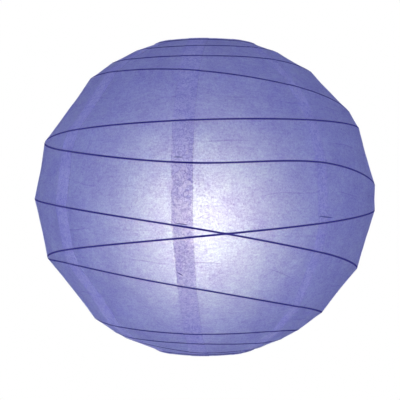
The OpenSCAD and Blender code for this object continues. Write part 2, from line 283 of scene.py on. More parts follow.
# %% [markdown]
# The floor is far below the hanging lantern. It keeps the lantern's shadow, which only views
# from above take in. Its own colour is grey, and a little light of its own lifts it to white
# where the camera sees it.

# %% Floor
FLOOR_Z = -1.3
FLOOR_SIZE = 6.0
FLOOR_GREY = (0.80, 0.80, 0.80, 1)
FLOOR_LIFT = (0.35, 0.35, 0.35, 1)

bpy.ops.object.select_all(action="DESELECT")
bpy.ops.mesh.primitive_plane_add(size=FLOOR_SIZE, location=(0, 0, FLOOR_Z))
floor = bpy.context.object
floor.name = "floor"
bpy.ops.object.transform_apply(location=True, rotation=True, scale=True)
pale_floor, ground, floor_out = new_finish("pale_floor")
matt = add(ground, "BsdfDiffuse", {"Color": FLOOR_GREY})
lift = add(ground, "Emission", {"Color": FLOOR_LIFT, "Strength": seen_directly(ground)})
both = add(ground, "AddShader", {0: matt.outputs[0], 1: lift.outputs[0]})
ground.links.new(both.outputs[0], floor_out.inputs["Surface"])
floor.data.materials.append(pale_floor)
print("floor", FLOOR_SIZE, "m wide,", -FLOOR_Z, "m below the hook")

# %% [markdown]
# ## The rib's course
# One thin wire winds from the top rim to the bottom one in eleven turns. It was never even: in
# the photograph two turns meet at the left edge, and lower down the wire crosses its own last
# turn. The model's heights are repeated here, one for each seam that the wire passes, in percent
# of half the globe's height. Between two seams the height eases from one to the next.

# %% Heights of the rib
GORES = 8
FIRST_SEAM = 173.5
RIB_R = 0.7 * MM
GLOBE_R = 151.1 * MM
RING_WIRE_R = (top_ring_box[1][2] - top_ring_box[0][2]) / 2
RIM_R = (top_ring_box[1][0] - top_ring_box[0][0]) / 2 - RING_WIRE_R
HALF_H = (TOP_RING_Z - BOTTOM_RING_Z) / 2
MIDDLE_Z = GLOBE_MIDDLE.z
GLOBE_B = HALF_H / math.sqrt(1 - (RIM_R / GLOBE_R) ** 2)
PASTE = 0.05 * MM
RIB_TURNS = [
    [99.52, 96.5, 96, 94, 93.5, 94, 94, 90],
    [88.5, 87.5, 87.5, 86, 85.5, 85, 81, 80],
    [79.5, 78.5, 76.5, 77.5, 75.5, 67, 54.5, 49],
    [43, 37.5, 34, 40.5, 44.5, 46, 44.5, 42],
    [39, 35.5, 37.5, 28.5, 20.5, 21, 7, 1.5],
    [0.5, 0.5, 0, -4.5, -15, -31, -47, -49],
    [-47.5, -43.5, -43, -31, -21.5, -14, -8.5, -10.5],
    [-16.5, -28, -39.5, -39.5, -50, -64.5, -76, -76],
    [-77, -77.5, -78.5, -79.5, -81, -81.5, -87, -84.5],
    [-85.5, -86, -87, -88, -88.5, -90.5, -92.5, -91.5],
    [-92, -92.5, -91.5, -91.5, -97, -97, -98, -98],
]
RIB_END = -99.45
CROSSINGS = (33.3, 34.3, 52.3, 58.3)
TUCK_REACH = 0.4
rib_keys = np.array([height for turn in RIB_TURNS for height in turn] + [RIB_END])
RIB_SEAMS = len(rib_keys) - 1
print("the rib winds", RIB_SEAMS / GORES, "turns")

# %% [markdown]
# Places on the globe are counted in seams, s, along the rib from its start. These helpers turn
# s into an azimuth and a height, and those into a place in space.

# %% Places on the globe
def rib_z(s):
    """Height of the rib above the globe's middle, s seams along from its start."""
    s = np.clip(s, 0, RIB_SEAMS)
    i = np.minimum(np.floor(s).astype(int), RIB_SEAMS)
    t = s - i
    a, b, c, d = (rib_keys[np.clip(i + step, 0, RIB_SEAMS)] for step in (-1, 0, 1, 2))
    eased = b + t / 2 * (c - a + t * (2 * a - 5 * b + 4 * c - d + t * (3 * (b - c) + d - a)))
    return HALF_H / 100 * eased


def globe_at(z):
    return GLOBE_R * np.sqrt(np.maximum(1 - (z / GLOBE_B) ** 2, 1e-6))


def outward(r, z):
    """The globe's outward direction, as its parts across and up."""
    across, up = r / GLOBE_R**2, z / GLOBE_B**2
    size = np.hypot(across, up)
    return across / size, up / size


def azimuth(s):
    return np.radians(FIRST_SEAM + 360 / GORES * s)


def at(angle, r, z):
    """A place in the row frame from an azimuth, a radius and a height about the middle."""
    return np.stack([r * np.sin(angle), -r * np.cos(angle), z + MIDDLE_Z], axis=-1)


def smooth(x):
    x = np.clip(x, 0, 1)
    return x * x * (3 - 2 * x)


print("the rib starts at", at(azimuth(0), globe_at(rib_z(0)), rib_z(0)).round(4))

# %% [markdown]
# A Screw modifier would wind an even helix, and this wire isn't even. So it is drawn as a curve
# with a round bevel and made a mesh, as one would by hand. Where it crosses its own last turn it
# ducks inside by one wire's thickness.

# %% Rib wire
RIB_STEPS = 16
along = np.linspace(0, RIB_SEAMS, RIB_SEAMS * RIB_STEPS + 1)
rib_height = rib_z(along)
rib_radius = globe_at(rib_height)
duck = np.max([smooth(2 * (1 - np.abs((along - c) / TUCK_REACH))) for c in CROSSINGS], axis=0)
across, up = outward(rib_radius, rib_height)
duck_depth = duck * (2 * RIB_R + PASTE)
rib_path = at(azimuth(along), rib_radius - duck_depth * across, rib_height - duck_depth * up)

bpy.ops.object.select_all(action="DESELECT")
bpy.ops.curve.primitive_nurbs_path_add()
rib = bpy.context.object
rib.name = "spiral_rib"
course = rib.data
course.splines.clear()
spline = course.splines.new("POLY")
spline.points.add(len(rib_path) - 1)
spline.points.foreach_set("co", np.column_stack([rib_path, np.ones(len(rib_path))]).ravel())
course.dimensions = "3D"
course.bevel_depth = RIB_R
course.bevel_resolution = 2
course.use_fill_caps = True
bpy.ops.object.convert(target="MESH")
rib = bpy.context.object
bpy.ops.object.shade_smooth()
print("rib wire:", round(float(np.linalg.norm(np.diff(rib_path, axis=0), axis=1).sum()), 2),
      "m long,", len(rib.data.polygons), "faces")

# %% [markdown]
# ## Eight gores
# A paper globe is glued up from gores: long leaves, wide in the middle and narrow at the rims,
# each lapping over the next. Between two turns of wire the paper is pulled straight, so the globe
# has corners at the wires and not a sphere's round outline. Here each gore is a grid whose rows
# run along the wires and whose columns run down the leaf.
#
# First the seams: where they are is read off the photograph for the three in view. A ray from
# the camera meets the CAD paper, and the azimuth of the hit is the seam's.

# %% Where the seams are
def tree_of(objects):
    """One BVHTree over the meshes of several objects."""
    points, faces = [], []
    for obj in objects:
        first = len(points)
        points += [v.co.copy() for v in obj.data.vertices]
        faces += [[first + i for i in face.vertices] for face in obj.data.polygons]
    return BVHTree.FromPolygons(points, faces)


def azimuth_of(point):
    return math.degrees(math.atan2(point[0], -point[1]))


cad_paper = tree_of(frame["nodes"][f"paper_gore_{n}"] for n in range(1, GORES + 1))
SEEN_SEAMS = {3: "left_lap", 4: "front_lap", 5: "right_lap"}
seam_turn = {}
for seam, point in SEEN_SEAMS.items():
    even = FIRST_SEAM - 360 + 360 / GORES * seam
    seam_turn[seam] = math.radians(azimuth_of(place_on(cad_paper, image_points[point])) - even)
print("seams off their even place, in degrees:",
      {seam: round(math.degrees(turn), 1) for seam, turn in seam_turn.items()})

# %% [markdown]
# The edges were cut with scissors and pasted by eye, so no lap has quite the same width all the
# way down. Each edge gets its own slow wobble. The front seam also drifts to the right below,
# and the right one is narrower.

# %% Edges of the laps
LAP_HALF = 8.5 * MM
NARROW_LAP = {5: 0.62}
FRONT_SEAM = 4
FRONT_DRIFT = {-1: 3.0 * MM, 1: 0.6 * MM}
DRIFT_OVER = 75 * MM
random = np.random.default_rng(12)
waves = random.uniform((0.2 * MM, 15, 0), (0.8 * MM, 45, 6.28), size=(3 * GORES, 3, 3))
SEAM_WANDER = 0.3
EDGE_WANDER = 0.4


def wobble(number, z):
    """A slow wave of a millimetre or so along a cut edge."""
    return sum(size * np.sin(rate * z + start) for size, rate, start in waves[number])


def lap_edge(seam, side, z):
    """Offset along the paper of a lap's left (-1) or right (+1) edge from its even place."""
    seam = seam % GORES
    off = seam_turn.get(seam, 0.0) * globe_at(z) + SEAM_WANDER * wobble(seam, z)
    if seam == FRONT_SEAM:
        off = off + FRONT_DRIFT[side] * smooth(-z / DRIFT_OVER)
    half = LAP_HALF * NARROW_LAP.get(seam, 1.0)
    return off + side * half + EDGE_WANDER * wobble(GORES + 2 * seam + (side > 0), z)


print("laps", 2 * LAP_HALF / MM, "mm wide, the right one", NARROW_LAP[5], "of that")

# %% [markdown]
# The rows: at any azimuth the paper passes over eleven turns of wire, and one more corner at each
# end of the rib keeps the count the same all round. Close rows hold the sharp ridge at a wire.
# Half way between two wires is the crease along which the paper folds when the lantern is put
# away flat, with close rows too. Ordinary rows fill in.

# %% Rows of a gore
PAPER_T = 0.16 * MM
PAPER_GAP = 0.08 * MM
HEM_R = RING_WIRE_R + 0.35 * MM
RIDGE_ROWS = (0.45 * MM, 1.0 * MM)
CREASE_ROW = 0.6 * MM
FILL_ROWS = 5
ROW_GAP = 0.45 * MM
NEAR_UPPER, UPPER_FILL, CREASE, LOWER_FILL, NEAR_LOWER = range(5)

panel_rows = [(NEAR_UPPER, 0.0), (NEAR_UPPER, RIDGE_ROWS[0]), (NEAR_UPPER, RIDGE_ROWS[1])]
panel_rows += [(UPPER_FILL, (n + 1) / (FILL_ROWS + 1)) for n in range(FILL_ROWS)]
panel_rows += [(CREASE, -CREASE_ROW), (CREASE, 0.0), (CREASE, CREASE_ROW)]
panel_rows += [(LOWER_FILL, (n + 1) / (FILL_ROWS + 1)) for n in range(FILL_ROWS)]
panel_rows += [(NEAR_LOWER, -RIDGE_ROWS[1]), (NEAR_LOWER, -RIDGE_ROWS[0])]
PANELS = len(RIB_TURNS) + 3
rows = [(panel, kind, value) for panel in range(PANELS) for kind, value in panel_rows]
rows.append((PANELS - 1, NEAR_LOWER, 0.0))
row_panel, row_kind, row_value = (np.array(column) for column in zip(*rows))
print("rows in a gore:", len(rows))

# %% [markdown]
# Seen along a gore, the taut paper is a chain of straight panels from wire to wire. A cloth
# simulation could drape it, but taut paper has no folds to find, and straight lines in code keep
# every corner exactly one paper gap outside its wire.

# %% Corners of the taut paper
def wires_at(s):
    """Heights at which the rib passes s, from the top down, none closer than ROW_GAP."""
    turns = np.arange(-1, len(RIB_TURNS) + 1)
    z = -np.sort(-rib_z(s[..., None] + GORES * turns), axis=-1)
    last = z.shape[-1] - 1
    for k in range(1, last + 1):
        z[..., k] = np.minimum(z[..., k], z[..., k - 1] - ROW_GAP)
    for k in range(last):
        z[..., k] = np.maximum(z[..., k], z[..., last] + ROW_GAP * (last - k))
    return z


def knots_at(s):
    """Radius and height of the paper's inside over the top hem, each wire and the low hem."""
    z = wires_at(s)
    z = np.concatenate([HALF_H + 0 * z[..., :1], z, -HALF_H + 0 * z[..., :1]], axis=-1)
    r = np.minimum(globe_at(z), GLOBE_R)
    lift = np.full(z.shape[-1], RIB_R + PAPER_GAP)
    lift[[0, -1]] = HEM_R + PAPER_GAP
    across, up = outward(r, z)
    return r + across * lift, z + up * lift


print("a corner lies", round((RIB_R + PAPER_GAP) / MM, 2), "mm outside the wire's middle")

# %% [markdown]
# Each row then takes its share of the panel that it belongs to. The close rows keep their own
# distance from the wire, or less where a panel is short, and the crease wavers a little about
# the middle of its panel.

# %% The taut paper between the corners
RIDGE_SHARE = 0.2
CREASE_WANDER = 0.05


def section(s):
    """The taut paper at each row's own azimuth: radius, height, share of its panel, span."""
    r, z = knots_at(s)
    above = np.broadcast_to(row_panel, s.shape)[..., None]
    r0, r1, z0, z1 = (np.take_along_axis(side, above + step, -1)[..., 0]
                      for side in (r, z) for step in (0, 1))
    span = np.maximum(np.hypot(r1 - r0, z1 - z0), 1e-6)
    shrink = np.minimum(1, RIDGE_SHARE * span / RIDGE_ROWS[1])
    ridge = shrink * RIDGE_ROWS[1] / span
    fold = shrink * CREASE_ROW / span
    waver = CREASE_WANDER * np.sin(9 * s + 2.1 * row_panel) * np.sin(3.3 * s + row_panel)
    middle = 0.5 + waver
    share = np.select(
        [row_kind == NEAR_UPPER, row_kind == UPPER_FILL, row_kind == CREASE,
         row_kind == LOWER_FILL, row_kind == NEAR_LOWER],
        [row_value * shrink / span,
         ridge + (middle - fold - ridge) * row_value,
         middle + row_value * shrink / span,
         middle + fold + (1 - ridge - middle - fold) * row_value,
         1 + row_value * shrink / span])
    return r0 + (r1 - r0) * share, z0 + (z1 - z0) * share, share, span


print("panels in a gore:", PANELS)

# %% [markdown]
# The columns: the leaf proper lies on the wires, and its last strip steps up by one thickness
# and laps over the next leaf. Where an edge is depends on the height, and the height on how the
# wires run at that edge, so a few rounds of one after the other settle both.

# %% Columns of a gore
SETTLING_ROUNDS = 4
FAR = 9
LEAF_COLUMNS = 56
LAP_COLUMNS = 10
STEP_UP = 1.2 * MM
leaf_t = np.concatenate([np.linspace(0, 1, LEAF_COLUMNS), np.ones(LAP_COLUMNS)])[:, None]
lap_t = np.concatenate([np.zeros(LEAF_COLUMNS), np.linspace(0, 1, LAP_COLUMNS)])[:, None]
is_lap = np.arange(LEAF_COLUMNS + LAP_COLUMNS)[:, None] >= LEAF_COLUMNS


def gore_grid(gore):
    """A gore's azimuths in seams, radii, heights, shares, spans, and the distances in
    millimetres inside the strip where it is covered and the strip where it covers."""
    s = gore + leaf_t + np.zeros(len(rows))
    for _ in range(SETTLING_ROUNDS):
        r, z, share, span = section(s)
        seam_width = r * 2 * math.pi / GORES
        left, under, over = (lap_edge(seam, side, z) / seam_width
                             for seam, side in ((gore, -1), (gore + 1, -1), (gore + 1, 1)))
        start, bend = gore + left, gore + 1 + under - STEP_UP / seam_width
        lapped = bend + 0.9 * STEP_UP / seam_width
        on_leaf = start + (bend - start) * leaf_t
        on_lap = lapped + (gore + 1 + over - lapped) * lap_t
        s = np.where(is_lap, on_lap, on_leaf)
    covered = ((gore - s) * seam_width + lap_edge(gore, 1, z)) / MM
    covers = ((s - gore - 1) * seam_width - lap_edge(gore + 1, -1, z)) / MM
    return s, r, z, share, span, covered.clip(-FAR, FAR), covers.clip(-FAR, FAR)


print("columns in a gore:", LEAF_COLUMNS + LAP_COLUMNS)

# %% [markdown]
# The wire is glued to the paper's inside, and against the lamp it shows through as a thin dark
# line. The finish paints that line on as a painted shadow of the wire, so each point of the paper
# stores its distance from the nearest wire.

# %% Distance from the wire
SLOPE_STEP = 0.02


def wire_distance(s, r, z):
    """Distance along the paper to the nearest wire, in millimetres. It is taken a little short
    where the paper leans, because a round wire looks as wide from every side."""
    across, up = outward(globe_at(z), z)
    height = z - up * (RIB_R + PAPER_GAP)
    turns = GORES * np.arange(-1, len(RIB_TURNS) + 1)
    there = rib_z(s[..., None] + turns)
    after, before = (rib_z(s[..., None] + turns + step) for step in (SLOPE_STEP, -SLOPE_STEP))
    slope = (after - before) / (2 * SLOPE_STEP)
    seam_width = r * 2 * math.pi / GORES
    rise = slope / (across * seam_width)[..., None]
    away = np.abs(height[..., None] - there) / np.sqrt(across[..., None] * (1 + rise**2))
    return away.min(axis=-1) / MM


print("a wire's slope is taken over", 2 * SLOPE_STEP, "seams")

# %% [markdown]
# Slack: hand-pasted paper isn't quite taut. Each panel sags a little inward between its wires,
# keeps its crease, and has faint puckers, which are noise that dies away towards the wires.

# %% Slack in the panels
SAG = 0.011
CREASE_DEPTH = 0.16 * MM
PUCKER = 0.42 * MM
WIDE_PANEL = 30 * MM


def noise_at(place, scale=1, shift=(0, 0, 0)):
    values = [noise.noise(Vector(p) * scale + Vector(shift)) for p in place.reshape(-1, 3)]
    return np.array(values).reshape(place.shape[:2])


def slack(place, share, span):
    """How far inward the paper lies of a taut panel, and how sharp its crease is there."""
    hump = 4 * share * (1 - share)
    size = np.minimum(1, span / WIDE_PANEL)
    uneven = noise_at(place, 22)
    pucker = noise_at(place, 75, (3, 1, 7))
    crease = smooth(0.35 + 1.6 * noise_at(place * (38, 38, 9))) * size
    on_crease = (row_kind == CREASE) * np.where(row_value == 0, 1.0, 0.25)
    inward = SAG * span * hump * (1 + 0.7 * uneven)
    inward = inward + CREASE_DEPTH * crease * on_crease + PUCKER * pucker * hump * size
    return inward, crease * (row_kind == CREASE) * (row_value == 0)


print("a panel sags", SAG * 100, "% of its span")

# %% [markdown]
# Light has to pass into the paper and out of it, so a sheet is closed: an inner surface, an
# outer one a paper's thickness away, and a narrow band round the edge. Sheets are made in code
# from two grids of points, and carry on their points what the finish needs to know.

# %% A closed sheet from two grids
SHARP_EDGE = math.radians(60)


def closed_sheet(name, inner, outer, values):
    """A thin sheet from two grids of points, closed round its edge, with values on its points."""
    columns, count = inner.shape[:2]
    index = np.arange(columns * count).reshape(columns, count)
    skin = columns * count
    a, b, c, d = (part.ravel() for part in
                  (index[:-1, :-1], index[1:, :-1], index[1:, 1:], index[:-1, 1:]))
    ring = np.concatenate([index[:, 0], index[-1, 1:], index[-2::-1, -1], index[0, -2:0:-1]])
    after = np.roll(ring, -1)
    faces = np.concatenate([
        np.column_stack([a, b, c, d]),
        np.column_stack([a, d, c, b]) + skin,
        np.column_stack([ring, ring + skin, after + skin, after]),
    ])
    mesh = bpy.data.meshes.new(name)
    points = np.concatenate([inner.reshape(-1, 3), outer.reshape(-1, 3)])
    mesh.from_pydata(points.tolist(), [], faces.tolist())
    mesh.attributes.new("place", "FLOAT_VECTOR", "POINT").data.foreach_set(
        "vector", points.astype(np.float32).ravel())
    for key, (on_inner, on_outer) in values.items():
        both = np.concatenate([on_inner.ravel(), on_outer.ravel()]).astype(np.float32)
        mesh.attributes.new(key, "FLOAT", "POINT").data.foreach_set("value", both)
    sheet = bpy.data.objects.new(name, mesh)
    bpy.context.scene.collection.objects.link(sheet)
    bpy.ops.object.select_all(action="DESELECT")
    sheet.select_set(True)
    bpy.context.view_layer.objects.active = sheet
    bpy.ops.object.shade_smooth_by_angle(angle=SHARP_EDGE)
    return sheet


print("edges sharper than", round(math.degrees(SHARP_EDGE)), "degrees stay sharp")

# %% [markdown]
# Now the eight gores. A lap lies one thickness and its paste outside the gore under it. The
# stored values are the distance from the wire, the crease, how far inside a doubled strip a
# point is, and how far inside the paste, which only the two surfaces that meet there have.

# %% Build the gores
gores = []
edges = {}
for gore in range(GORES):
    s, r, z, share, span, covered, covers = gore_grid(gore)
    inward, crease = slack(at(azimuth(s), r, z), share, span)
    across, up = outward(globe_at(z), z)
    lift = np.where(is_lap, PAPER_T + PASTE, 0.0) - inward
    inner = at(azimuth(s), r + across * lift, z + up * lift)
    lift = lift + PAPER_T
    outer = at(azimuth(s), r + across * lift, z + up * lift)
    wire = wire_distance(s, r, z)
    double = np.maximum(covers, covered)
    gores.append(closed_sheet(f"gore_{gore + 1}", inner, outer, {
        "wire": (wire, wire), "fold": (crease, crease),
        "double": (double, double), "pasted": (covers, covered)}))
    edges[gore] = (outer[0], outer[-1])
print("gores:", len(gores), "of", len(gores[0].data.polygons), "faces")

# %% [markdown]
# ## Hems
# Each rim ring is bound in a strip of the same tissue, rolled once round the wire and pasted on
# itself, with the gores' ends glued on its outside. A torus would look moulded, because its
# paper would have no ends. So the strip is rolled in code: its columns run round the ring until
# the ends overlap, and its rows roll round the wire a little past one turn.

# %% Roll the hems
HEM_T = 0.12 * MM
HEM_WIDTH = 10.0 * MM
HEM_COLUMNS = 260
HEM_ROWS = 27
HEM_TURN = 1.012
ROLL_START = math.radians(150)
ROLL_EASE = 0.12
TURN_EASE = 0.02
HEM_GAP = 0.02 * MM
GATHERS = 13
hem_mid_r = RING_WIRE_R + PASTE + HEM_T / 2
roll = ROLL_START + np.linspace(0, HEM_WIDTH / hem_mid_r, HEM_ROWS)[None, :]
turned = np.linspace(0, 2 * math.pi * HEM_TURN, HEM_COLUMNS)[:, None]


def hem(name, ring_z, seed):
    """A strip of paper rolled round the ring at ring_z."""
    rolled_past = smooth((roll - roll[0, 0] - 2 * math.pi) / ROLL_EASE + 1)
    turned_past = smooth((turned - 2 * math.pi) / TURN_EASE + 1)
    gathers = np.array([[
        noise.noise(Vector((math.cos(a) * GATHERS, math.sin(a) * GATHERS, f * 0.8 + seed)))
        for f in roll[0]] for a in turned[:, 0]])
    base = RING_WIRE_R + PASTE + (rolled_past + turned_past) * (HEM_T + HEM_GAP)
    base = base + PASTE * (gathers + 0.5)
    grids = [at(math.radians(FIRST_SEAM) + turned + 0 * roll, RIM_R + radius * np.cos(roll),
                ring_z - MIDDLE_Z + radius * np.sin(roll)) for radius in (base, base + HEM_T)]
    # The strip is darker where it gathers: fold lowers the paper's tone there.
    fold = 0.5 * smooth(gathers * 3)
    away = np.full(base.shape, float(FAR))
    return closed_sheet(name, *grids, {"wire": (away, away), "fold": (fold, fold),
                                       "double": (-away, -away), "pasted": (-away, -away)})


hems = [hem("top_hem_strip", TOP_RING_Z, 1.0), hem("bottom_hem_strip", BOTTOM_RING_Z, 5.0)]
print("hem strips of", len(hems[0].data.polygons), "faces")

# %% [markdown]
# ## Small tucks
# Where two edges were pasted the paper pinched here and there into short tucks, dark against the
# lamp. The paper stays smooth: the finish paints each tuck as a short line of painted shade. Those
# in view are placed by the photograph: a ray finds the spot on the finished paper. The hidden
# seams get a few of their own.

# %% Places of the tucks
paper_tree = tree_of(gores)
SEEN_TUCKS = [
    ("upper_tuck", 4.5 * MM, 0.50 * MM, -1),
    ("middle_tuck", 6.0 * MM, 0.45 * MM, -7),
    ("lower_tuck", 3.2 * MM, 0.55 * MM, -34),
    ("right_tuck", 9.5 * MM, 0.60 * MM, -6),
]
HIDDEN_TUCKS = [(0, 38, 4.0, 4), (1, -52, 5.0, -12), (2, 71, 3.5, 9), (7, -18, 4.0, -5),
                (6, -30, 5.0, 7), (7, 55, 3.0, -20)]
TUCK_WIDTH = 0.5 * MM


def outward_at(point):
    across, up = outward(math.hypot(point[0], point[1]), point[2] - MIDDLE_Z)
    angle = math.radians(azimuth_of(point))
    return (across * math.sin(angle), -across * math.cos(angle), up)


def tuck_frame(point, slant):
    """Where a tuck lies and how it is turned: along the paper, across it, and outward."""
    angle = math.radians(azimuth_of(point))
    level = Vector((math.cos(angle), math.sin(angle), 0))
    out = Vector(outward_at(point))
    line = Matrix.Rotation(math.radians(slant), 3, out) @ level
    turned_to = Matrix((line, out.cross(line), out)).transposed()
    return Vector(point), turned_to.to_euler()


tucks = []
tuck_places = {}
for name, half_length, half_width, slant in SEEN_TUCKS:
    tuck_places[name] = place_on(paper_tree, image_points[name])
    tucks.append((*tuck_frame(tuck_places[name], slant), half_length, half_width))
for seam, height, half_length, slant in HIDDEN_TUCKS:
    spot = at(azimuth(seam), globe_at(height * MM), height * MM)
    tucks.append((*tuck_frame(spot, slant), half_length * MM, TUCK_WIDTH))
print("tucks:", len(tucks))

# %% [markdown]
# ## Tissue paper
# Tissue is a web of long fibres. Held to a lamp it is cloudy, streaked the way the sheet was
# drawn, and full of thin curly threads. A scan of real tissue would show its edges where it
# repeats. Noises have no edges: each of these things is a noise of its own size, and a weighed
# sum of them gives the paper's tone, from 0, thick and dark, to 1, thin and bright.

# %% Parts of the paper's pattern
def threads(tree, place, scale, width, twist):
    """Thin curly lines: where a twisted noise passes its middle value."""
    wavy = add(tree, "TexNoise", {"Vector": place, "Scale": scale, "Detail": 2.0,
                                  "Roughness": 0.5, "Distortion": twist})
    off = add(tree, "Math", {0: wavy.outputs["Fac"], 1: 0.5}, operation="SUBTRACT")
    size = add(tree, "Math", {0: off.outputs[0]}, operation="ABSOLUTE")
    return spread(tree, size.outputs[0], (0.0, width), (1.0, 0.0))


def weighed(tree, parts, start=0.0):
    """start plus each part times its weight."""
    total = None
    for part, weight in parts:
        scaled = add(tree, "Math", {0: part, 1: weight}, operation="MULTIPLY_ADD")
        if total is None:
            scaled.inputs[2].default_value = start
        else:
            tree.links.new(total, scaled.inputs[2])
        total = scaled.outputs[0]
    return total


def stored(tree, name, part="Fac"):
    """A value that the sheet carries on its points."""
    return add(tree, "Attribute", attribute_name=name).outputs[part]


def times(tree, one, other):
    return add(tree, "Math", {0: one, 1: other}, operation="MULTIPLY").outputs[0]


print("parts of the pattern: threads, and any weighed sum")

# %% [markdown]
# The pattern reads a stored place instead of the position, so that it stays on the paper when
# the lantern folds. Where two gores lap there are two layers with paste between them: that strip
# is a little darker, and the paste brings out curly fibres in it.

# %% The paper's tone
ALONG_SHEET = (0.3, 0.3, 1.0)
DOUBLE_TONE = 0.15
TONE_START = -0.52
SWITCH_OVER = 0.12


def switch(tree, name):
    """1 where a distance stored in millimetres is inside, and 0 outside."""
    return spread(tree, stored(tree, name), (-SWITCH_OVER, SWITCH_OVER))


def paper_tone(tree, place, double):
    """How thin the paper looks at each point, with painted shade along its creases, and the curly
    fibres in its laps.
    """
    drawn = add(tree, "Mapping", {"Vector": place, "Scale": ALONG_SHEET}).outputs[0]
    cloud = add(tree, "TexNoise", {"Vector": place, "Scale": 60.0, "Detail": 4.0}).outputs["Fac"]
    grain = add(tree, "TexNoise", {"Vector": place, "Scale": 700.0, "Detail": 2.0}).outputs["Fac"]
    streak = add(tree, "TexNoise", {"Vector": drawn, "Scale": 600.0, "Detail": 3.0}).outputs["Fac"]
    long_threads = threads(tree, place, 170.0, 0.035, 2.5)
    short_threads = threads(tree, place, 360.0, 0.05, 1.6)
    curls = times(tree, threads(tree, place, 300.0, 0.07, 0.8), double)
    # The fold value lowers the tone along each crease, a groove in the paper: painted shade there.
    parts = [(cloud, 0.7), (streak, 0.75), (grain, 1.0), (long_threads, -0.35),
             (short_threads, -0.35), (double, DOUBLE_TONE), (stored(tree, "fold"), -0.6)]
    return weighed(tree, parts, start=TONE_START), curls


print("the tone starts from", TONE_START)

# %% [markdown]
# The wire's shadow through the paper is drawn as a thin dark blue line of painted shadow, by the
# stored distance from the wire, on top of the shade that the real wire behind the paper casts. A
# tuck darkens the paper in the same way: each is a small flat ball of painted shade, placed by a
# Mapping node.

# %% Wire lines and tucks
# The colour of the wire's painted shadow and of the tucks' painted shade, and the width of the
# wire's painted shadow in millimetres. Curly fibres in the laps darken the onward light towards
# that colour too.
PAINTED_SHADE_AND_CURL_COLOUR = (0.060, 0.052, 0.32)
WIRE_SHADOW_WIDTH = (0.48, 0.95)
TUCK_DEPTH = 4 * MM
# The share of the paper's colour that a tuck's painted shade leaves at its core.
TUCK_UNSHADED = 0.25
TUCK_CORE = 0.6


def painted_tuck_shade(tree, place):
    """The tucks' painted shade: 1 on a tuck, and 0 off it."""
    shade_marks = None
    for spot, turned_to, half_length, half_width in tucks:
        local = add(tree, "Mapping", {"Vector": place, "Location": spot, "Rotation": turned_to,
                                      "Scale": (half_length, half_width, TUCK_DEPTH)},
                    vector_type="TEXTURE")
        away = add(tree, "VectorMath", {0: local.outputs[0]}, operation="LENGTH")
        shade_mark = spread(tree, away.outputs["Value"], (TUCK_CORE, 1.0), (1.0, 0.0))
        shade_marks = shade_mark if shade_marks is None else add(tree, "Math", {0: shade_marks, 1: shade_mark},
                                               operation="MAXIMUM").outputs[0]
    return shade_marks


def unshaded_share(tree, place):
    """0 on the wire's painted shadow, low on a tuck's painted shade, and 1 on paper with neither.
    """
    off_wire_shadow = spread(tree, stored(tree, "wire"), WIRE_SHADOW_WIDTH,
                      interpolation_type="SMOOTHSTEP")
    off_tuck_shade = spread(tree, painted_tuck_shade(tree, place), target=(1.0, TUCK_UNSHADED))
    return times(tree, off_wire_shadow, off_tuck_shade)


print("line and", len(tucks), "tucks ready")

# %% [markdown]
# Paper sends light on in two ways. Part is scattered all round, by Diffuse on the lit side and
# Translucent on the far side. Part goes on nearly straight, and that is why the lamp shows as a
# soft hot spot: a very rough Refraction gives it. The photograph's hot spot is taller than it is
# wide, as it would be behind fibres that lie across the lantern. So this light has two equal
# lobes, one leaning up and one leaning down.

# %% Onward light
PAPER_ONWARD = ((0.60, 0.50, 0.74), (0.94, 1.0, 1.0))
DOUBLE_TINT = (0.98, 0.88, 0.86)
ONWARD_ROUGHNESS = 0.78
ONWARD_LEAN = 0.42
ONWARD_IOR = 1.5


def onward_light(tree, tone, normal, double, clear):
    """Light that goes nearly straight on, in a lobe leaning up and one leaning down."""
    tinted = ramp(tree, double, ramp(tree, tone, *PAPER_ONWARD), DOUBLE_TINT,
                  blend_type="MULTIPLY")
    # Where clear is 0, on the wire's painted shadow and a tuck's painted shade, the onward light
    # takes their dark colour; curly fibres in the laps pull it part way there.
    colour = ramp(tree, clear, PAINTED_SHADE_AND_CURL_COLOUR, tinted)
    lobes = []
    for lean in (-ONWARD_LEAN, ONWARD_LEAN):
        leaning = add(tree, "VectorMath", {0: normal, 1: (0, 0, lean)}).outputs["Vector"]
        leaning = add(tree, "VectorMath", {0: leaning}, operation="NORMALIZE").outputs["Vector"]
        lobe = add(tree, "BsdfRefraction", {"Color": colour, "Normal": leaning,
                                            "Roughness": ONWARD_ROUGHNESS, "IOR": ONWARD_IOR})
        lobes.append(lobe.outputs[0])
    return add(tree, "MixShader", {0: 0.5, 1: lobes[0], 2: lobes[1]}).outputs[0]


print("onward light leans up and down by", ONWARD_LEAN)

# %% [markdown]
# A Principled shader has gloss and glass, but no light that a thin sheet scatters to its far
# side. So the finish mixes plain shaders: the lit face, the scattered light and the onward
# light. Two layers let a little less light through and scatter more of it. Along a wire less of
# it passes, and the face there takes the dark colour of the wire's painted shadow.
#
# A lap's two paper surfaces that meet in the paste are nearly clear, because paste takes the
# place of air there, and light isn't scattered again.

# %% Paper finish
PAPER_FACE = ((0.27, 0.30, 0.88), (0.45, 0.49, 0.97))
PAPER_THROUGH = ((0.28, 0.30, 0.88), (0.46, 0.49, 0.97))
CURL_CLEAR = 0.5
THROUGH_SHARE = 0.72
DOUBLE_THROUGH = 0.70
ONWARD_SHARE = 0.86
DOUBLE_ONWARD = 0.66
# On the wire's painted shadow only this share of the light passes through the paper.
WIRE_SHADOW_THROUGH = 0.35


